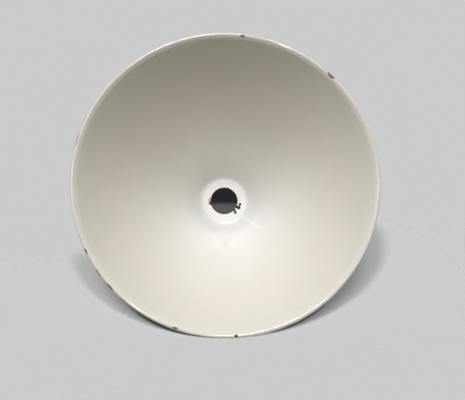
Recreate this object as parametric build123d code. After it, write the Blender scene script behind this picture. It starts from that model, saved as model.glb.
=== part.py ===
from build123d import *
from build123d.topology import SkipClean
import math
import os

# A coolie lampshade pressed from one round of sheet steel and enamelled all over.
# It hangs mouth down: +Z runs up the axis, and z = 0 is the plane that the rolled rim rests on.
# All lengths are in millimetres.

# The shade's main sizes
MOUTH_DIAMETER = 254.0
HEIGHT = 127.0
SHEET = 1.0

# The flat seat round the lampholder's hole
SEAT_DIAMETER = 50.8
SEAT_BEND_RADIUS = 5.5
HOLE_DIAMETER = 28.0

# The rim, rolled outwards into a small tube that stops just short of the wall
CURL_MID_RADIUS = 1.3
CURL_TURN = 280.0
CURL_STEPS = 6

# Where the enamel has flaked off the lamp side of the seat, at the hole's edge. Each flake is its place
# round the axis in degrees, anticlockwise from +X seen from above, its distance from the axis, its length
# and its depth.
FLAKES = [
    (206.5, 14.6, 2.4, 0.26),
    (206.5, 17.0, 2.8, 0.26),
    (194.0, 17.5, 2.6, 0.26),
    (223.0, 14.9, 2.4, 0.22),
    (228.5, 17.3, 2.4, 0.22),
    (-10.3, 14.9, 2.8, 0.26),
]


def section() -> Sketch:
    """The sheet's cut edge, half of a slice through the axis, in radius and height."""
    outer_radius = CURL_MID_RADIUS + SHEET / 2
    inner_radius = CURL_MID_RADIUS - SHEET / 2
    curl_centre = Vector(MOUTH_DIAMETER / 2 - outer_radius, outer_radius)
    lamp_corner = Vector(SEAT_DIAMETER / 2, HEIGHT - SHEET)

    # The wall leans so that its lamp side runs into the curl's outside as a tangent.
    run = curl_centre - lamp_corner
    lean = math.atan2(run.X, -run.Y) - math.asin(outer_radius / run.length)
    inward = Vector(-math.cos(lean), -math.sin(lean))
    top_corner = lamp_corner + Vector(SHEET * math.tan(math.pi / 4 - lean / 2), SHEET)
    hole_edge = HOLE_DIAMETER / 2

    lamp_side = FilletPolyline(
        (hole_edge, HEIGHT - SHEET),
        lamp_corner,
        curl_centre + inward * outer_radius,
        radius=SEAT_BEND_RADIUS,
    )
    top_side = FilletPolyline(
        curl_centre + inward * inner_radius,
        top_corner,
        (hole_edge, HEIGHT),
        radius=SEAT_BEND_RADIUS + SHEET,
    )
    # The roll's outside is true arcs, end to end. Nothing shows its inside, so that is short flats.
    start = math.degrees(math.atan2(inward.Y, inward.X))
    turn = CURL_TURN / CURL_STEPS
    curl_outside = [
        CenterArc(curl_centre, outer_radius, start + turn * step, turn) for step in range(CURL_STEPS)
    ]
    curl_inside = Polyline(
        [
            curl_centre + inward.rotate(Axis.Z, turn * step) * inner_radius
            for step in range(CURL_STEPS + 1)
        ]
    )
    sheared_edge = Line(curl_outside[-1] @ 1, curl_inside @ 1)
    hole_wall = Line(top_side @ 1, lamp_side @ 0)
    return make_face(
        [
            *lamp_side.edges(),
            *curl_outside,
            sheared_edge,
            *curl_inside.edges(),
            *top_side.edges(),
            hole_wall,
        ]
    )


def flake(place: float, from_axis: float, length: float, depth: float) -> Part:
    """A ball that bites a shallow shell of enamel, as long and as deep as given, out of the seat."""
    radius = length**2 / (8 * depth) + depth / 2
    bottom = Vector(from_axis, 0, HEIGHT - SHEET + depth).rotate(Axis.Z, place)
    return Pos(*(bottom - Vector(0, 0, radius))) * Sphere(radius)


os.makedirs("parts", exist_ok=True)
shade = revolve(Plane.XZ * section(), Axis.Z, clean=False)
# The cuts leave the roll in the faces that its arcs drew.
with SkipClean():
    for entry in FLAKES:
        shade -= flake(*entry)
export_step(shade, "parts/shade.step")
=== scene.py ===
import logging
import math
from collections.abc import Iterable, Mapping
from dataclasses import dataclass, field
from enum import Enum

import bpy
import numpy as np
from mathutils import Matrix, Vector


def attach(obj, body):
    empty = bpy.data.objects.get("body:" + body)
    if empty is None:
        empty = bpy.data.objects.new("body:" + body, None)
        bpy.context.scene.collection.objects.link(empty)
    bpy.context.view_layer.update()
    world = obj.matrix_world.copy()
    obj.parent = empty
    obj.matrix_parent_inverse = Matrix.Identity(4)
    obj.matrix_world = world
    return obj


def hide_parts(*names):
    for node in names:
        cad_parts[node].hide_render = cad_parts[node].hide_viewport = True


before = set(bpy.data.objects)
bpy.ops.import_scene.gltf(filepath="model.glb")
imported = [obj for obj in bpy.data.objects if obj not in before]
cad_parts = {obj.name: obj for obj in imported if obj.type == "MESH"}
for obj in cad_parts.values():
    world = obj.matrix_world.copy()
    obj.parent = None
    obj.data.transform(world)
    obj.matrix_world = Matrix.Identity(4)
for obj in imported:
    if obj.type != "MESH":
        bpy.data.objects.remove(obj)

LOG = logging.getLogger("lampshade")
MM = 0.001
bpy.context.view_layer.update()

Colour = tuple[float, float, float]
Direction = tuple[float, float, float]
Span = tuple[float, float]

# What a cloud of noise comes to on average
NOISE_MEAN = 0.5
# The flake field far from any flake
UNFLAKED = -2.0
# Two unit vectors whose cross product is shorter than this count as parallel
PARALLEL = 0.01


# Shader arithmetic


class Value:
    """A node's output socket, with the arithmetic of numbers written as Python."""

    def __init__(self, bench: "Bench", socket: bpy.types.NodeSocket) -> None:
        """Wraps a socket of the bench's node tree."""
        self.bench = bench
        self.socket = socket

    def math(self, operation: str, other: "Value | float", first: bool = True) -> "Value":
        """Adds one Math node.

        Args:
            operation: The Math node's operation.
            other: Its other operand.
            first: Whether this value is the first operand, not the second.

        Returns:
            The node's result.
        """
        operands = [self, other] if first else [other, self]
        return self.bench.node("ShaderNodeMath", {"operation": operation}, dict(enumerate(operands)))

    def __add__(self, other: "Value | float") -> "Value":
        """Returns self + other."""
        return self.math("ADD", other)

    def __radd__(self, other: float) -> "Value":
        """Returns other + self."""
        return self.math("ADD", other, first=False)

    def __sub__(self, other: "Value | float") -> "Value":
        """Returns self - other."""
        return self.math("SUBTRACT", other)

    def __rsub__(self, other: float) -> "Value":
        """Returns other - self."""
        return self.math("SUBTRACT", other, first=False)

    def __mul__(self, other: "Value | float") -> "Value":
        """Returns self * other."""
        return self.math("MULTIPLY", other)

    def at_least(self, other: "Value | float") -> "Value":
        """Returns the larger of self and other."""
        return self.math("MAXIMUM", other)

    def ease(self, low: float, high: float) -> "Value":
        """Rises smoothly from 0 at low to 1 at high.

        Args:
            low: Where the result is 0.
            high: Where it is 1; where this is below low, the result falls.

        Returns:
            The eased value, from 0 to 1.
        """
        inputs = {"Value": self, "From Min": low, "From Max": high}
        return self.bench.node("ShaderNodeMapRange", {"interpolation_type": "SMOOTHSTEP"}, inputs)


@dataclass(frozen=True)
class Blotches:
    """A cloud of noise: how far apart its blotches are in millimetres, and its finer octaves."""

    size: float
    detail: float
    roughness: float = 0.5


class Bench:
    """A cleared node tree, and the few ways in which nodes are put on it."""

    def __init__(self, tree: bpy.types.NodeTree) -> None:
        """Takes a material's or world's node tree and clears it."""
        self.tree = tree
        tree.nodes.clear()

    @staticmethod
    def find(sockets: Iterable[bpy.types.NodeSocket], key: str | int) -> bpy.types.NodeSocket:
        """Finds a socket.

        Args:
            sockets: A node's inputs or outputs.
            key: The socket's number, identifier or name.

        Returns:
            The socket.
        """
        listed = list(sockets)
        if isinstance(key, int):
            return listed[key]
        matches = [socket for socket in listed if socket.identifier == key]
        matches += [socket for socket in listed if socket.name == key]
        return matches[0]

    def node(
        self,
        kind: str,
        settings: Mapping[str, object] | None = None,
        inputs: Mapping[str | int, object] | None = None,
        output: str | int = 0,
    ) -> Value:
        """Adds one node.

        Args:
            kind: The node's type.
            settings: Its own settings, which are set first.
            inputs: Values or links for its sockets, by number, identifier or name.
            output: The output that is wanted.

        Returns:
            That output.
        """
        made = self.tree.nodes.new(kind)
        for name, setting in (settings or {}).items():
            setattr(made, name, setting)
        for key, given in (inputs or {}).items():
            socket = self.find(made.inputs, key)
            if isinstance(given, Value):
                self.tree.links.new(given.socket, socket)
            else:
                socket.default_value = given
        return Value(self, self.find(made.outputs, output) if made.outputs else None)

    def noise(self, place: Value, blotches: Blotches) -> Value:
        """Adds a cloud of noise.

        Args:
            place: Where on the surface, in metres.
            blotches: The noise's size and octaves.

        Returns:
            The noise, about 0.5 on average.
        """
        inputs = {
            "Vector": place,
            "Scale": 1.0 / (blotches.size * MM),
            "Detail": blotches.detail,
            "Roughness": blotches.roughness,
        }
        return self.node("ShaderNodeTexNoise", None, inputs, "Fac")

    def blend(self, share: Value | float, under: Value | Colour, over: Value | Colour) -> Value:
        """Lays one colour over another.

        Args:
            share: How much of the upper colour shows, from 0 to 1.
            under: The lower colour.
            over: The upper colour.

        Returns:
            The mixed colour.
        """
        inputs = {"Factor_Float": share}
        for key, colour in (("A_Color", under), ("B_Color", over)):
            inputs[key] = colour if isinstance(colour, Value) else (*colour, 1.0)
        return self.node("ShaderNodeMix", {"data_type": "RGBA"}, inputs, "Result_Color")

    def dot(self, vector: Value, along: Iterable[float]) -> Value:
        """Returns how far a vector reaches along a fixed direction."""
        inputs = {0: vector, 1: tuple(along)}
        return self.node("ShaderNodeVectorMath", {"operation": "DOT_PRODUCT"}, inputs, "Value")

    def attribute(self, name: str) -> Value:
        """Reads a number that the mesh carries at its points."""
        return self.node("ShaderNodeAttribute", {"attribute_name": name}, None, "Fac")


# The shade's form


class Bare(Enum):
    """What shows where the enamel has come off."""

    GROUND_COAT = 0.0
    NICK = 0.5
    RUST = 1.0


@dataclass(frozen=True)
class Flake:
    """One place where the enamel is gone. Lengths are in millimetres, angles in degrees.

    A place on the roll is told by its turn round the tube, from the outermost line towards the underside,
    and a place on the seat by its distance from the axis.
    """

    place: float
    length: float
    width: float
    depth: float
    bare: Bare
    roll_turn: float | None = None
    from_axis: float = 0.0


@dataclass(frozen=True)
class SeatMarksAndShade:
    """Soft marks round the seat, and a ring of painted shade and painted reflection. Lengths are in
    millimetres, angles in degrees.
    """

    # The ring of painted shade and painted reflection: its place, width, least strength and narrowing
    ring_from_axis: float = 31.0
    ring_width: float = 6.5
    ring_least: float = 0.28
    ring_narrowing: float = 4.0
    line_place: float = 221.8
    line_ends: Span = (23.5, 50.5)
    line_fades: Span = (1.2, 1.5)
    line_width: float = 0.9
    line_width_from_axis: float = 25.0
    line_widening: float = 0.022
    run_angle: float = 16.0
    run_from_axis: float = 15.6
    run_width: float = 1.5

    def painted_shade_ring(self, angle: np.ndarray, away: np.ndarray) -> np.ndarray:
        """Paints the ring of shade and dark reflection round the seat, which is strongest on its -Y side.

        Args:
            angle: Places round the axis in radians.
            away: Distances from the axis in millimetres.

        Returns:
            The ring's strength at each.
        """
        side = ((1.0 - np.sin(angle)) / 2.0) ** self.ring_narrowing
        ring = np.exp(-(((away - self.ring_from_axis) / self.ring_width) ** 2))
        return ring * (self.ring_least + (1.0 - self.ring_least) * side)

    def pale_line(self, angle: np.ndarray, away: np.ndarray) -> np.ndarray:
        """Shades the pale line that runs straight out from the flakes at the hole.

        Args:
            angle: Places round the axis in radians.
            away: Distances from the axis in millimetres.

        Returns:
            The line's strength at each.
        """
        off = angle - math.radians(self.line_place)
        aside = np.arctan2(np.sin(off), np.cos(off)) * away
        width = self.line_width + self.line_widening * (away - self.line_width_from_axis)
        starts = 1.0 + np.exp((self.line_ends[0] - away) / self.line_fades[0])
        stops = 1.0 + np.exp((away - self.line_ends[1]) / self.line_fades[1])
        return np.exp(-((aside / width) ** 2)) / starts / stops

    def rust_run(self, angle: np.ndarray, away: np.ndarray) -> np.ndarray:
        """Shades the rust that has run from the hole's edge over the seat, on its +X side.

        Args:
            angle: Places round the axis in radians.
            away: Distances from the axis in millimetres.

        Returns:
            The stain's strength at each.
        """
        off = np.degrees(np.arctan2(np.sin(angle), np.cos(angle)))
        across = np.exp(-(((away - self.run_from_axis) / self.run_width) ** 2))
        return np.exp(-((off / self.run_angle) ** 2)) * across


@dataclass(frozen=True)
class Skin:
    """The points of the shade's skin, one a row, before its flakes are bitten in."""

    points: np.ndarray
    normals: np.ndarray
    lamp_side: np.ndarray
    angle: np.ndarray
    away: np.ndarray


@dataclass
class PressedShade:
    """The shade, spun from one round of sheet: seat, bend, cone, flare and rolled rim.

    Lengths are in millimetres, angles in degrees.
    """

    mouth_diameter: float = 254.0
    height: float = 127.0
    sheet: float = 1.0
    seat_diameter: float = 50.8
    seat_bend_radius: float = 5.5
    hole_diameter: float = 28.0
    curl_mid_radius: float = 1.3
    curl_turn: float = 280.0
    flare_radius: float = 10.5
    flare_turn: float = 23.0
    fused_edge: float = 0.35

    # A first guess at the wall's angle, and how often it is bettered
    lean_guess: float = 38.0
    lean_rounds: int = 20

    # How close the lines round the axis are, and how far past a flake on the rim the close ones go
    line_spacing: float = 1.0
    fine_spacing: float = 0.22
    fine_margin: float = 1.2

    # How many rings each stretch of the section gets, and how far out the seat has close ones
    flaked_seat_radius: float = 20.0
    fused_edge_rings: int = 4
    flaked_seat_rings: int = 24
    seat_rings: int = 6
    bend_rings: int = 12
    wall_rings: int = 40
    flare_rings: int = 10
    curl_rings: int = 30
    sheared_edge_rings: int = 5
    curl_inside_rings: int = 10
    outer_flare_rings: int = 4
    outer_wall_rings: int = 16
    outer_bend_rings: int = 8

    # The low step in the seat's enamel: its height, place, softness and end, its least strength and what
    # is added towards each side (by the side's sine and the span), and how it wanders (height, number and
    # start of each wave)
    seat_step: float = 0.010
    seat_step_from_axis: float = 18.6
    seat_step_softness: float = 0.8
    seat_step_end: float = 26.0
    seat_step_least: float = 0.4
    seat_step_added: float = 0.6
    seat_step_sides: tuple[Span, ...] = ((-1.0, 0.12), (1.0, 0.01))
    seat_step_waves: tuple[tuple[float, int, float], ...] = ((0.5, 5, 0.4), (0.35, 11, 2.0))

    # How far out from the hole's edge the enamel may be worn
    worn_width: float = 2.0

    rim_flakes: tuple[Flake, ...] = (
        Flake(135.7, 6.6, 3.9, 0.35, Bare.RUST, roll_turn=50.0),
        Flake(133.2, 7.0, 1.5, 0.20, Bare.RUST, roll_turn=26.0),
        Flake(97.1, 3.6, 2.0, 0.22, Bare.NICK, roll_turn=118.0),
        Flake(15.4, 10.0, 1.7, 0.20, Bare.RUST, roll_turn=34.0),
        Flake(-27.1, 4.2, 2.2, 0.26, Bare.RUST, roll_turn=40.0),
        Flake(-36.2, 6.4, 1.5, 0.16, Bare.RUST, roll_turn=24.0),
        Flake(-42.6, 6.6, 2.2, 0.26, Bare.RUST, roll_turn=32.0),
        Flake(-70.4, 3.8, 1.7, 0.20, Bare.NICK, roll_turn=84.0),
        Flake(-92.3, 2.4, 2.0, 0.25, Bare.GROUND_COAT, roll_turn=92.0),
    )
    seat_flakes: tuple[Flake, ...] = (
        Flake(206.5, 2.8, 2.8, 0.26, Bare.GROUND_COAT, from_axis=14.8),
        Flake(206.0, 3.4, 3.4, 0.26, Bare.GROUND_COAT, from_axis=17.2),
        Flake(206.0, 2.4, 5.0, 0.10, Bare.GROUND_COAT, from_axis=15.6),
        Flake(194.0, 2.6, 2.6, 0.26, Bare.GROUND_COAT, from_axis=17.5),
        Flake(223.0, 2.2, 2.4, 0.22, Bare.GROUND_COAT, from_axis=14.9),
        Flake(228.5, 2.2, 2.4, 0.22, Bare.GROUND_COAT, from_axis=17.3),
        Flake(225.5, 1.6, 5.4, 0.10, Bare.GROUND_COAT, from_axis=16.0),
        Flake(-10.3, 2.8, 2.8, 0.26, Bare.GROUND_COAT, from_axis=14.9),
        Flake(108.0, 1.8, 1.4, 0.20, Bare.GROUND_COAT, from_axis=14.1),
    )
    # The marks round the seat, and the ring of painted shade
    marks: SeatMarksAndShade = SeatMarksAndShade()
    rings: list[tuple[float, float, bool]] = field(default_factory=list)

    def outer_curl(self) -> float:
        """Returns the radius of the roll's outside."""
        return self.curl_mid_radius + self.sheet / 2

    def curl_centre(self) -> np.ndarray:
        """Returns the middle of the roll, in distance from the axis and height."""
        return np.array([self.mouth_diameter / 2 - self.outer_curl(), self.outer_curl()])

    def flare_centre(self, lean: float) -> np.ndarray:
        """Finds the middle of the flare's arc, which runs into the roll's outside.

        Args:
            lean: The wall's angle from the axis, in radians.

        Returns:
            The middle, in distance from the axis and height.
        """
        turned = lean + math.radians(self.flare_turn)
        towards = np.array([math.cos(turned), math.sin(turned)])
        return self.curl_centre() + (self.flare_radius - self.outer_curl()) * towards

    def lean(self) -> float:
        """Works out the wall's angle from the axis, at which its lamp side meets the flare as a tangent.

        Returns:
            The angle in radians.
        """
        lean = math.radians(self.lean_guess)
        for _ in range(self.lean_rounds):
            run = self.flare_centre(lean) - [self.seat_diameter / 2, self.height - self.sheet]
            lean = math.atan2(run[0], -run[1]) - math.asin(self.flare_radius / math.hypot(*run))
        return lean

    def arc(
        self, centre: np.ndarray, radius: float, start: float, end: float, steps: int, lamp: bool
    ) -> None:
        """Adds rings along a round stretch of the section, without its last.

        Args:
            centre: The arc's centre, in distance from the axis and height.
            radius: The arc's radius.
            start: Where it starts, in radians.
            end: Where it ends.
            steps: How many rings it gets.
            lamp: Whether it is on the lamp side of the sheet.
        """
        for step in range(steps):
            turn = start + (end - start) * step / steps
            place = centre + radius * np.array([math.cos(turn), math.sin(turn)])
            self.rings.append((*place, lamp))

    def line(self, start: Iterable[float], end: Iterable[float], steps: int, lamp: bool) -> None:
        """Adds rings along a straight stretch of the section, without its last.

        Args:
            start: Where it starts, in distance from the axis and height.
            end: Where it ends.
            steps: How many rings it gets.
            lamp: Whether it is on the lamp side of the sheet.
        """
        start, end = np.array(start), np.array(end)
        for step in range(steps):
            self.rings.append((*(start + (end - start) * step / steps), lamp))

    def draw_section(self) -> None:
        """Draws the sheet's cut edge as rings: once round it from the hole, down the lamp side and back."""
        self.rings.clear()
        lean, centre = self.lean(), self.curl_centre()
        towards_lamp = np.array([-math.cos(lean), -math.sin(lean)])
        bend_run = self.seat_bend_radius * math.tan((math.pi / 2 - lean) / 2)
        bend = np.array([self.seat_diameter / 2 - bend_run, self.height - self.sheet - self.seat_bend_radius])
        hole, edge = self.hole_diameter / 2, self.fused_edge
        under, top = self.height - self.sheet, self.height
        quarter = math.pi / 2
        half = math.pi

        lower_edge = np.array([hole + edge, under + edge])
        self.arc(lower_edge, edge, half, half + quarter, self.fused_edge_rings, True)
        flaked = np.array([self.flaked_seat_radius, under])
        self.line((hole + edge, under), flaked, self.flaked_seat_rings, True)
        self.line(flaked, (bend[0], under), self.seat_rings, True)
        self.arc(bend, self.seat_bend_radius, quarter, lean, self.bend_rings, True)
        wall_start = bend - self.seat_bend_radius * towards_lamp
        flare, flare_turn = self.flare_centre(lean), math.radians(self.flare_turn)
        self.line(wall_start, flare + self.flare_radius * towards_lamp, self.wall_rings, True)
        flare_start = math.atan2(towards_lamp[1], towards_lamp[0])
        start = flare_start + flare_turn
        self.arc(flare, self.flare_radius, flare_start, start, self.flare_rings, True)

        bead = self.sheet / 2
        end = start + math.radians(self.curl_turn) - flare_turn - math.asin(bead / self.curl_mid_radius)
        self.arc(centre, self.outer_curl(), start, end, self.curl_rings, True)
        bead_centre = centre + self.curl_mid_radius * np.array([math.cos(end), math.sin(end)])
        self.arc(bead_centre, bead, end, end + half, self.sheared_edge_rings, False)
        self.arc(centre, self.curl_mid_radius - bead, end, start, self.curl_inside_rings, False)

        outer_flare, outer_bend = self.flare_radius - self.sheet, self.seat_bend_radius + self.sheet
        self.arc(flare, outer_flare, start, flare_start, self.outer_flare_rings, False)
        wall_end = bend - outer_bend * towards_lamp
        self.line(flare + outer_flare * towards_lamp, wall_end, self.outer_wall_rings, False)
        self.arc(bend, outer_bend, lean, quarter, self.outer_bend_rings, False)
        self.line((bend[0], top), (hole + edge, top), self.seat_rings, False)
        upper_edge = np.array([hole + edge, top - edge])
        self.arc(upper_edge, edge, quarter, half, self.fused_edge_rings, False)

    def lines(self) -> np.ndarray:
        """Lays out the mesh's lines round the axis, close together where the rim is flaked.

        Returns:
            Their places in radians.
        """
        rim = self.mouth_diameter / 2
        places = np.arange(0.0, 360.0, self.line_spacing)
        for flake in self.rim_flakes:
            half = math.degrees((flake.length / 2 + self.fine_margin) / rim)
            off = (places - flake.place + 180.0) % 360.0 - 180.0
            fine = flake.place + np.arange(-half, half, self.fine_spacing)
            places = np.concatenate([places[np.abs(off) > half], fine])
        places = np.sort(places % 360.0)
        return np.radians(places[np.append(np.diff(places) > self.fine_spacing / 3, True)])

    @staticmethod
    def sweep(section: np.ndarray, places: np.ndarray) -> np.ndarray:
        """Turns a section about the axis.

        Args:
            section: Rings as distance from the axis and height, one a row.
            places: The lines' places round the axis, in radians.

        Returns:
            A row for each line of each ring, as X, Y and Z.
        """
        return np.column_stack([
            (section[:, 0, None] * np.cos(places)).ravel(),
            (section[:, 0, None] * np.sin(places)).ravel(),
            np.repeat(section[:, 1], len(places)),
        ])

    def skin(self, places: np.ndarray) -> Skin:
        """Sweeps the drawn section round the axis.

        Args:
            places: The lines' places round the axis, in radians.

        Returns:
            The skin's points.
        """
        rings = np.array([(away, up) for away, up, _ in self.rings])
        lamp_side = np.array([lamp for _, _, lamp in self.rings])
        tangent = np.roll(rings, -1, axis=0) - np.roll(rings, 1, axis=0)
        tangent /= np.linalg.norm(tangent, axis=1)[:, None]
        normal = np.stack([tangent[:, 1], -tangent[:, 0]], axis=1)
        return Skin(
            points=self.sweep(rings, places),
            normals=self.sweep(normal, places),
            lamp_side=np.repeat(lamp_side, len(places)),
            angle=np.tile(places, len(rings)),
            away=np.repeat(rings[:, 0], len(places)),
        )

    @staticmethod
    def faces(rings: int, lines: int) -> np.ndarray:
        """Joins the points of neighbouring rings and lines.

        Args:
            rings: How many rings there are.
            lines: How many points each has.

        Returns:
            Four points for each face, one face a row.
        """
        ring = np.arange(rings)[:, None]
        line = np.arange(lines)[None, :]
        next_ring, next_line = (ring + 1) % rings, (line + 1) % lines
        corners = ((ring, line), (ring, next_line), (next_ring, next_line), (next_ring, line))
        return np.column_stack([(row * lines + column).ravel() for row, column in corners])

    def flake_centre(self, flake: Flake) -> np.ndarray:
        """Finds the middle of a flake.

        Args:
            flake: The flake.

        Returns:
            Its place in millimetres.
        """
        if flake.roll_turn is None:
            away, up = flake.from_axis, self.height - self.sheet
        else:
            turn, centre = math.radians(flake.roll_turn), self.curl_centre()
            away = centre[0] + self.outer_curl() * math.cos(turn)
            up = centre[1] - self.outer_curl() * math.sin(turn)
        place = math.radians(flake.place)
        return np.array([away * math.cos(place), away * math.sin(place), up])

    def flake_fields(self, points: np.ndarray) -> tuple[np.ndarray, np.ndarray, np.ndarray]:
        """Measures how far into a flake each point lies.

        Args:
            points: Places in millimetres, one a row.

        Returns:
            The field (1 at a flake's middle, 0 at its edge, negative outside), what shows there, and the
            depth of the flake in millimetres.
        """
        nearest = np.full(len(points), UNFLAKED)
        bare, depth = np.zeros(len(points)), np.zeros(len(points))
        for flake in (*self.rim_flakes, *self.seat_flakes):
            place = math.radians(flake.place)
            away = points - self.flake_centre(flake)
            along = away @ np.array([-math.sin(place), math.cos(place), 0.0])
            across = np.sqrt(np.maximum((away**2).sum(1) - along**2, 0.0))
            reach = 1.0 - np.hypot(along / (flake.length / 2), across / (flake.width / 2))
            closer = reach > nearest
            nearest = np.where(closer, reach, nearest)
            bare = np.where(closer, flake.bare.value, bare)
            depth = np.maximum(depth, flake.depth * np.clip(1.0 - (1.0 - reach) ** 2, 0.0, 1.0))
        return nearest, bare, depth

    def seat_sink(self, angle: np.ndarray, away: np.ndarray) -> np.ndarray:
        """Works out how far the inner part of the seat's enamel lies back from the rest.

        Args:
            angle: Places round the axis in radians.
            away: Distances from the axis in millimetres.

        Returns:
            The depth at each, in millimetres.
        """
        wander = sum(high * np.sin(number * angle + start) for high, number, start in self.seat_step_waves)
        rise = np.tanh((away - self.seat_step_from_axis - wander) / self.seat_step_softness)
        sides = sum(np.exp(-(((np.sin(angle) - side) / span) ** 2)) for side, span in self.seat_step_sides)
        strength = self.seat_step_least + self.seat_step_added * sides
        return np.where(away < self.seat_step_end, self.seat_step * strength * (1.0 - rise), 0.0)

    def build(self) -> bpy.types.Object:
        """Builds the shade as one skin round the sheet, with its flakes bitten in.

        Returns:
            The mesh object, with the flakes, marks and painted shade as numbers at its points.
        """
        self.draw_section()
        places = self.lines()
        skin = self.skin(places)
        around = (skin.angle, skin.away)
        nearest, bare, depth = self.flake_fields(skin.points)
        sunk = np.where(skin.lamp_side, depth + self.seat_sink(*around), 0.0)
        points = skin.points - skin.normals * sunk[:, None]
        faces = self.faces(len(self.rings), len(places))

        mesh = bpy.data.meshes.new("enamelled_shade")
        mesh.from_pydata((points * MM).tolist(), [], faces.tolist())
        mesh.shade_smooth()
        fields = {
            "flake": np.where(skin.lamp_side, nearest, UNFLAKED),
            "bare": bare,
            "outward": skin.away / (self.mouth_diameter / 2),
            "hole_edge": np.clip(1.0 - (skin.away - self.hole_diameter / 2) / self.worn_width, 0.0, 1.0),
            # The ring of painted shade and painted reflection round the seat
            "painted_shade_ring": np.where(skin.lamp_side, self.marks.painted_shade_ring(*around), 0.0),
            "pale_line": np.where(skin.lamp_side, self.marks.pale_line(*around), 0.0),
            "rust_run": np.where(skin.lamp_side, self.marks.rust_run(*around), 0.0),
        }
        for name, numbers in fields.items():
            mesh.attributes.new(name, "FLOAT", "POINT").data.foreach_set("value", numbers.astype(np.float32))
        mesh.validate()
        shade = bpy.data.objects.new("enamelled_shade", mesh)
        bpy.context.scene.collection.objects.link(shade)
        LOG.info("shade: %d rings, %d lines, %d faces", len(self.rings), len(places), len(faces))
        return shade


# Finishes


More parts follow.
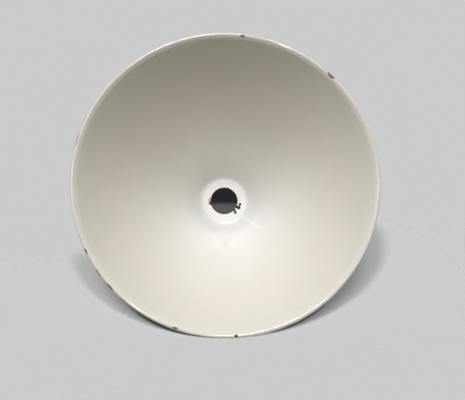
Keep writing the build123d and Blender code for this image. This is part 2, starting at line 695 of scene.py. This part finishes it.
@dataclass(frozen=True)
class VitreousEnamel:
    """Glossy off-white enamel over a black ground coat over steel. Heights are in millimetres."""

    white: Colour = (0.805, 0.780, 0.718)
    cream: Colour = (0.808, 0.772, 0.640)
    greyer: Colour = (0.760, 0.733, 0.655)
    # Painted shade and painted reflection for the ring round the seat
    painted_shade_colour: Colour = (0.56, 0.60, 0.615)
    pale: Colour = (0.93, 0.90, 0.86)
    ground_coat: Colour = (0.012, 0.011, 0.010)
    nick: Colour = (0.22, 0.19, 0.13)
    rust: Colour = (0.24, 0.115, 0.020)
    dark_rust: Colour = (0.035, 0.014, 0.007)
    rust_wash: Colour = (0.54, 0.29, 0.05)

    # How much of each colour shows where it is strongest
    greyer_share: float = 0.3
    painted_shade_share: float = 0.62
    pale_share: float = 0.55
    run_share: float = 0.9
    margin_share: float = 0.7

    # Between which values each share rises
    cream_rise: Span = (0.25, 0.85)
    greyer_rise: Span = (0.35, 0.75)
    run_rise: Span = (0.25, 0.80)
    margin_rise: Span = (-0.25, 0.20)
    dark_rust_rise: Span = (0.75, 0.95)
    flaked_rise: Span = (-0.26, -0.10)
    worn_rise: Span = (0.66, 0.80)

    # How far noise carries each edge
    cream_wander: float = 0.3
    margin_wander: float = 0.5
    dark_rust_wander: float = 0.8
    flaked_wander: float = 0.9
    worn_wander: float = 0.35

    cloud: Blotches = Blotches(26.0, 3.0)
    streaks: Blotches = Blotches(1.5, 3.0)
    grain: Blotches = Blotches(0.8, 4.0, 0.65)
    ragged_edge: Blotches = Blotches(0.9, 3.0, 0.6)
    smears: Blotches = Blotches(9.0, 3.0)

    # The surface: its gloss, and the waves and pits that the light shows
    refraction: float = 1.52
    gloss: float = 0.04
    smear: float = 0.03
    bare_roughness: float = 0.72
    waves: Blotches = Blotches(13.0, 1.0)
    wave_height: float = 0.035
    orange_peel: Blotches = Blotches(1.6, 2.0)
    orange_peel_height: float = 0.0010
    pits: Blotches = Blotches(0.35, 3.0)
    pit_height: float = 0.10

    def colour(self, bench: Bench, place: Value, bare_share: Value) -> Value:
        """Mixes the colour of enamel, stains, bare places and the painted shade round the seat.

        Args:
            bench: The material's bench.
            place: Where on the shade.
            bare_share: 1 where the enamel is gone.

        Returns:
            The base colour.
        """
        cloud = bench.noise(place, self.cloud)
        grain = bench.noise(place, self.grain)
        depth = bench.attribute("flake")
        kind = bench.attribute("bare")

        outward = bench.attribute("outward") + (cloud - NOISE_MEAN) * self.cream_wander
        enamel = bench.blend(outward.ease(*self.cream_rise), self.white, self.cream)
        enamel = bench.blend(cloud.ease(*self.greyer_rise) * self.greyer_share, enamel, self.greyer)
        # Painted shade and painted reflection, darker and bluer, round the seat
        enamel = bench.blend(bench.attribute("painted_shade_ring") * self.painted_shade_share, enamel, self.painted_shade_colour)
        enamel = bench.blend(bench.attribute("pale_line") * self.pale_share, enamel, self.pale)
        run = bench.attribute("rust_run") * (NOISE_MEAN + bench.noise(place, self.streaks))
        enamel = bench.blend(run.ease(*self.run_rise) * self.run_share, enamel, self.rust_wash)
        margin = (depth + grain * self.margin_wander).ease(*self.margin_rise) * kind
        enamel = bench.blend(margin * self.margin_share, enamel, self.rust_wash)

        oxide = (depth + grain * self.dark_rust_wander).ease(*self.dark_rust_rise)
        oxide = bench.blend(oxide, self.rust, self.dark_rust)
        bare = bench.blend(kind.ease(Bare.GROUND_COAT.value, Bare.NICK.value), self.ground_coat, self.nick)
        bare = bench.blend(kind.ease(Bare.NICK.value, Bare.RUST.value), bare, oxide)
        return bench.blend(bare_share, enamel, bare)

    def height(self, bench: Bench, place: Value, bare_share: Value) -> Value:
        """Adds up the enamel's waves and orange peel and the pits of its bare places.

        Args:
            bench: The material's bench.
            place: Where on the shade.
            bare_share: 1 where the enamel is gone.

        Returns:
            The height in metres.
        """
        waves = bench.noise(place, self.waves) * (self.wave_height * MM)
        orange_peel = bench.noise(place, self.orange_peel) * (self.orange_peel_height * MM)
        pits = bare_share * bench.noise(place, self.pits) * (self.pit_height * MM)
        return waves + orange_peel + pits

    def material(self) -> bpy.types.Material:
        """Makes the material.

        Returns:
            The enamel, ready for the shade.
        """
        made = bpy.data.materials.new("vitreous_enamel")
        made.use_nodes = True
        bench = Bench(made.node_tree)
        place = bench.node("ShaderNodeTexCoord", None, None, "Object")
        ragged = bench.noise(place, self.ragged_edge) - NOISE_MEAN
        flaked = (bench.attribute("flake") + ragged * self.flaked_wander).ease(*self.flaked_rise)
        worn = (bench.attribute("hole_edge") + ragged * self.worn_wander).ease(*self.worn_rise)
        bare_share = flaked.at_least(worn)
        gloss = self.gloss + bench.noise(place, self.smears) * self.smear
        relief = {"Height": self.height(bench, place, bare_share), "Distance": 1.0, "Strength": 1.0}
        inputs = {
            "Base Color": self.colour(bench, place, bare_share),
            "Roughness": gloss * (1.0 - bare_share) + bare_share * self.bare_roughness,
            "IOR": self.refraction,
            "Normal": bench.node("ShaderNodeBump", None, relief),
        }
        shader = bench.node("ShaderNodeBsdfPrincipled", None, inputs)
        bench.node("ShaderNodeOutputMaterial", None, {"Surface": shader})
        return made


@dataclass(frozen=True)
class PaleFloor:
    """A plain pale floor that the eye alone sees, from one side alone, fading out at its edge.

    Lengths are in millimetres, and start and stop are told up the slope from the floor's middle. The tread
    is how far each strip climbs, and the lap how much of a tread it goes on past each of its own ends.
    The paint is clear at one share of the reach and solid at another.
    """

    name: str
    paint: Colour
    middle: Iterable[float]
    normal: Iterable[float]
    faces: Iterable[float]
    reach: float
    start: float
    stop: float
    tread: float = 1.5
    lap: float = 0.7
    edge_fade: Span = (0.99, 0.55)
    stop_fade: float = 40.0

    def slope(self) -> tuple[Vector, Vector]:
        """Finds which way the floor climbs, seen from the side that its strips face.

        Returns:
            The unit vectors up its slope and level across it.
        """
        up = Vector(self.normal).normalized()
        level = Vector(self.faces).cross(up)
        if level.length < PARALLEL:
            level = up.orthogonal()
        level.normalize()
        return level.cross(up), level

    def treads(self) -> tuple[list[Vector], list[tuple[int, ...]]]:
        """Cuts the floor into narrow strips that all face one way, like a blind, so only that side sees them.

        Returns:
            The strips' corners, in metres from the floor's middle, and their faces.
        """
        slope, level = self.slope()
        face = Vector(self.faces).normalized()
        run = slope - face * slope.dot(face)
        low, high = -self.lap * self.tread, (1.0 + self.lap) * self.tread
        corners: list[Vector] = []
        strips: list[tuple[int, ...]] = []
        for number in range(math.floor((self.stop - self.start) / self.tread)):
            along = self.start + number * self.tread
            half = math.sqrt(max(self.reach**2 - (along + self.tread / 2) ** 2, 0.0))
            first = len(corners)
            for end, side in ((low, -half), (high, -half), (high, half), (low, half)):
                corners.append((slope * along + run * end + level * side) * MM)
            strips.append(tuple(range(first, first + 4)))
        winding = (corners[1] - corners[0]).cross(corners[2] - corners[1])
        if winding.dot(face) < 0.0:
            strips = [strip[::-1] for strip in strips]
        return corners, strips

    def build(self) -> bpy.types.Object:
        """Builds the floor and hides it from all but camera rays.

        Returns:
            The floor.
        """
        mesh = bpy.data.meshes.new(self.name)
        corners, strips = self.treads()
        mesh.from_pydata(corners, [], strips)
        floor = bpy.data.objects.new(self.name, mesh)
        floor.location = Vector(self.middle) * MM
        bpy.context.scene.collection.objects.link(floor)
        floor.visible_diffuse = False
        floor.visible_glossy = False
        floor.visible_transmission = False
        floor.visible_volume_scatter = False
        floor.visible_shadow = False
        mesh.materials.append(self.material())
        LOG.info("%s: %d strips", self.name, len(strips))
        return floor

    def material(self) -> bpy.types.Material:
        """Makes the floor's paint, which is clear from behind.

        Returns:
            The material.
        """
        made = bpy.data.materials.new(self.name + "_paint")
        made.use_nodes = True
        bench = Bench(made.node_tree)
        place = bench.node("ShaderNodeTexCoord", None, None, "Object")
        far = bench.node("ShaderNodeVectorMath", {"operation": "LENGTH"}, {0: place}, "Value")
        clear_at, solid_at = (share * self.reach * MM for share in self.edge_fade)
        climb = bench.dot(place, self.slope()[0])
        solid = far.ease(clear_at, solid_at) * climb.ease(self.stop * MM, (self.stop - self.stop_fade) * MM)
        back = bench.node("ShaderNodeNewGeometry", None, None, "Backfacing")
        diffuse = bench.node("ShaderNodeBsdfDiffuse", None, {"Color": (*self.paint, 1.0)})
        clear = bench.node("ShaderNodeBsdfTransparent")
        surface = bench.node("ShaderNodeMixShader", None, {0: solid * (1.0 - back), 1: clear, 2: diffuse})
        bench.node("ShaderNodeOutputMaterial", None, {"Surface": surface})
        return made


# The view and the light


@dataclass(frozen=True)
class TableTop:
    """How the shade leans on the table before the eye. Lengths are in millimetres, angles in degrees.

    Room directions have x to the right, y away from the eye and z up, with the eye above the origin.
    """

    eye_height: float = 282.6
    eye_tilt: float = 30.60
    eye_roll: float = 0.60
    rim_contact: tuple[float, float] = (-1.10, 265.97)
    mouth_elevation: float = 39.21
    mouth_swing: float = 2.57
    mouth_radius: float = 127.0
    roll_radius: float = 1.8
    focal_pixels: float = 478.7
    photo_width: float = 465.0
    sensor: float = 36.0
    nearest: float = 10.0
    farthest: float = 20000.0

    def axes(self) -> Matrix:
        """Works out how the shade is turned.

        Returns:
            Its own X, Y and Z in room directions, one a row.
        """
        up, swing = math.radians(self.mouth_elevation), math.radians(self.mouth_swing)
        mouth = Vector((math.sin(swing) * math.cos(up), -math.cos(swing) * math.cos(up), math.sin(up)))
        side = Vector((math.cos(swing), math.sin(swing), 0.0))
        return Matrix((-side, mouth.cross(side), -mouth))

    def contact(self) -> Vector:
        """Returns where in the room the rim touches the table."""
        return Vector((*self.rim_contact, 0.0))

    def origin(self) -> Vector:
        """Returns where the shade's own origin is in the room."""
        axes = self.axes()
        return self.contact() + axes[1] * self.mouth_radius - axes[2] * self.roll_radius

    def direction(self, elevation: float, azimuth: float) -> Vector:
        """Turns a room direction into one of the shade's own.

        Args:
            elevation: Degrees above the table.
            azimuth: Degrees from straight behind the eye, towards the right.

        Returns:
            The unit vector in the shade's frame.
        """
        up, swing = math.radians(elevation), math.radians(azimuth)
        room = Vector((math.sin(swing) * math.cos(up), -math.cos(swing) * math.cos(up), math.sin(up)))
        return self.axes() @ room

    def eye(self) -> Vector:
        """Returns where the eye is in the shade's own frame."""
        return self.axes() @ (Vector((0.0, 0.0, self.eye_height)) - self.origin())

    def build_camera(self) -> bpy.types.Object:
        """Sets up the camera where the photographer's eye was.

        Returns:
            The camera.
        """
        tilt, roll = math.radians(self.eye_tilt), math.radians(self.eye_roll)
        right = Vector((1.0, 0.0, 0.0))
        down = Vector((0.0, -math.sin(tilt), -math.cos(tilt)))
        ahead = Vector((0.0, math.cos(tilt), -math.sin(tilt)))
        rolled_right = right * math.cos(roll) - down * math.sin(roll)
        rolled_down = right * math.sin(roll) + down * math.cos(roll)
        axes = self.axes()
        turned = Matrix((axes @ rolled_right, axes @ -rolled_down, axes @ -ahead)).transposed()
        data = bpy.data.cameras.new("table_view")
        data.sensor_width = self.sensor
        data.lens = self.focal_pixels / self.photo_width * self.sensor
        data.clip_start = self.nearest * MM
        data.clip_end = self.farthest * MM
        camera = bpy.data.objects.new("table_view", data)
        camera.matrix_world = Matrix.Translation(self.eye() * MM) @ turned.to_4x4()
        bpy.context.scene.collection.objects.link(camera)
        bpy.context.scene.camera = camera
        return camera


@dataclass(frozen=True)
class Lamp:
    """A distant lamp. Its level is how bright it makes a white sheet that faces it, its spread in degrees."""

    name: str
    towards: Vector
    level: float
    spread: float
    colour: Colour = (1.0, 1.0, 1.0)
    mirrored: bool = True
    warms: bool = True

    def build(self, lit: bpy.types.Collection) -> bpy.types.Object:
        """Hangs the lamp.

        Args:
            lit: What it shines on.

        Returns:
            The lamp.
        """
        data = bpy.data.lights.new(self.name, "SUN")
        data.energy = self.level * math.pi
        data.angle = math.radians(self.spread)
        data.color = self.colour
        lamp = bpy.data.objects.new(self.name, data)
        lamp.rotation_euler = self.towards.to_track_quat("Z", "Y").to_euler()
        lamp.visible_glossy = self.mirrored
        lamp.visible_diffuse = self.warms
        lamp.light_linking.receiver_collection = lit
        bpy.context.scene.collection.objects.link(lamp)
        return lamp


@dataclass(frozen=True)
class Glint:
    """A small lamp over the table that only the gloss shows. Angles are in degrees."""

    elevation: float
    azimuth: float
    level: float
    spread: float


@dataclass(frozen=True)
class HoleShadow:
    """The dark spot that the eye sees in the surroundings through the hole.

    The hole's height is in millimetres. The spot is gone at one angle from the line of sight and full at
    another, in degrees. Its upper part is darker, and the blur between the parts is a difference of sines.
    """

    hole_height: float = 126.5
    fade: Span = (8.0, 5.0)
    blur: float = 0.010
    half_dark: Colour = (0.10, 0.10, 0.10)
    dark: Colour = (0.02, 0.02, 0.02)

    def over(self, bench: Bench, pale: Colour, direction: Value, behind: Value, table: TableTop) -> Value:
        """Lays the shadow over the pale surroundings.

        Args:
            bench: The world's bench.
            pale: The colour of the surroundings.
            direction: Which way the eye looks.
            behind: How far that is towards what is under the table.
            table: The table and the eye.

        Returns:
            The colour that the eye sees.
        """
        through = (Vector((0.0, 0.0, self.hole_height)) - table.eye()).normalized()
        start, full = (math.cos(math.radians(angle)) for angle in self.fade)
        rise = through.dot(table.axes() @ Vector((0.0, 0.0, 1.0)))
        depth = (0.0 - behind).ease(rise - self.blur, rise)
        shadow = bench.blend(depth, self.half_dark, self.dark)
        return bench.blend(bench.dot(direction, through).ease(start, full), pale, shadow)


@dataclass
class Studio:
    """Soft light, pale surroundings and the two floors."""

    table: TableTop
    shade_light: bpy.types.Collection
    floor_light: bpy.types.Collection
    pale: Colour = (0.60, 0.60, 0.60)
    hole_shadow: HoleShadow = HoleShadow()

    # Plain light without a direction: from the mouth's side, and from above and under the table
    mouth_fill: float = 0.072
    mouth_tint: Colour = (1.0, 0.86, 0.36)
    above_fill: float = 0.55
    above_rise: Span = (-0.02, 0.10)
    under_rise: Span = (0.0, 0.35)

    # The colour of the lamp over the table, and the small ones beside it
    overhead_colour: Colour = (0.965, 0.968, 1.058)
    glints: tuple[Glint, ...] = (
        Glint(elevation=47.65, azimuth=4.4, level=0.0110, spread=8.0),
        Glint(elevation=49.8, azimuth=-9.0, level=0.16, spread=1.1),
        Glint(elevation=54.5, azimuth=9.0, level=0.14, spread=1.1),
        Glint(elevation=52.6, azimuth=-10.0, level=0.08, spread=0.8),
    )

    # Towards the lamp for the outside, in the shade's own frame
    outside: Direction = (-0.35, -0.55, 0.76)

    # The table's patch: how far its middle is past the contact, in millimetres, which way its strips face
    # so that only the view from below the rim sees them, and its paint and the floor's
    table_middle: float = 70.0
    table_faces: Direction = (-0.105, 0.105, -0.989)
    table_paint: Colour = (0.149, 0.149, 0.149)
    floor_paint: Colour = (0.155, 0.155, 0.155)

    def build_world(self) -> None:
        """Paints the surroundings: pale to the eye, and plain soft light for the shade."""
        world = bpy.data.worlds.new("studio")
        bpy.context.scene.world = world
        world.use_nodes = True
        bench = Bench(world.node_tree)
        camera, glossy, clear = (
            bench.node("ShaderNodeLightPath", None, None, name)
            for name in ("Is Camera Ray", "Is Glossy Ray", "Is Transmission Ray")
        )
        seen = camera.at_least(glossy).at_least(clear)
        direction = bench.node("ShaderNodeTexCoord", None, None, "Generated")
        height = bench.node("ShaderNodeSeparateXYZ", None, {0: direction}, "Z")
        behind = bench.dot(direction, self.table.axes() @ Vector((0.0, 0.0, -1.0)))
        below = (0.0 - height).at_least(0.0) * self.mouth_fill
        above = height.ease(*self.above_rise) * behind.ease(*self.under_rise) * self.above_fill
        fill = {axis: below * tint + above for axis, tint in enumerate(self.mouth_tint)}
        glow = bench.node("ShaderNodeCombineXYZ", None, fill)
        backdrop = self.hole_shadow.over(bench, self.pale, direction, behind, self.table)
        colour = bench.blend(camera, bench.blend(seen, glow, self.pale), backdrop)
        background = bench.node("ShaderNodeBackground", None, {"Color": colour, "Strength": 1.0})
        bench.node("ShaderNodeOutputWorld", None, {"Surface": background})

    def build_lamps(self) -> None:
        """Hangs the lamps over the table, the one for the outside, and those for the floors."""
        aim = self.table.direction
        overhead = aim(elevation=73.6, azimuth=-16.0)
        outside = Vector(self.outside)
        small = [
            Lamp(
                f"glint_{number}",
                aim(glint.elevation, glint.azimuth),
                level=glint.level,
                spread=glint.spread,
                warms=False,
            )
            for number, glint in enumerate(self.glints)
        ]
        over_shade = (
            Lamp("overhead", overhead, level=0.975, spread=44.0, colour=self.overhead_colour, mirrored=False),
            Lamp("overhead_gleam", overhead, level=0.60, spread=20.0, warms=False),
            *small,
            Lamp("outside", outside, level=0.42, spread=30.0),
        )
        over_floors = (
            Lamp("floor_left", aim(elevation=63.0, azimuth=-38.0), level=1.75, spread=8.0),
            Lamp("floor_right", aim(elevation=63.0, azimuth=32.0), level=1.30, spread=8.0),
            Lamp("floor_above", aim(elevation=68.0, azimuth=-8.0), level=1.45, spread=16.0),
            Lamp("floor_outside", outside, level=3.4, spread=30.0),
            Lamp("floor_outside_above", Vector((0.0, 0.0, 1.0)), level=1.29, spread=80.0),
        )
        for lamp in over_shade:
            lamp.build(self.shade_light)
        for lamp in over_floors:
            lamp.build(self.floor_light)
        LOG.info("studio: %d lamps", len(over_shade) + len(over_floors))

    def build_floors(self) -> None:
        """Lays the table that the shade leans on and the floor under its rim."""
        axes = self.table.axes()
        away = Vector((0.0, self.table_middle, 0.0))
        table = PaleFloor(
            "table_top",
            self.table_paint,
            middle=axes @ (self.table.contact() + away - self.table.origin()),
            normal=axes @ Vector((0.0, 0.0, 1.0)),
            faces=self.table_faces,
            reach=300.0,
            start=-100.0,
            stop=75.0,
        )
        above = (0.0, 0.0, 1.0)
        floor = PaleFloor(
            "rim_floor",
            self.floor_paint,
            middle=(0.0, 0.0, 0.0),
            normal=above,
            faces=above,
            reach=420.0,
            start=-420.0,
            stop=420.0,
            tread=840.0,
            lap=0.0,
        )
        for patch in (table.build(), floor.build()):
            self.floor_light.objects.link(patch)

    def build(self) -> None:
        """Builds the whole studio."""
        bpy.context.scene.view_settings.view_transform = "Standard"
        self.build_world()
        self.build_lamps()
        self.build_floors()


def main() -> None:
    """Builds the view, the studio and the shade, in that order."""
    logging.basicConfig(level=logging.INFO, format="%(name)s: %(message)s")
    table = TableTop()
    table.build_camera()
    shade_light = bpy.data.collections.new("shade_light")
    floor_light = bpy.data.collections.new("floor_light")
    Studio(table, shade_light, floor_light).build()
    shade = PressedShade().build()
    shade_light.objects.link(shade)
    shade.data.materials.append(VitreousEnamel().material())
    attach(shade, "root")
    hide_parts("shade")


if __name__ == "__main__":
    main()
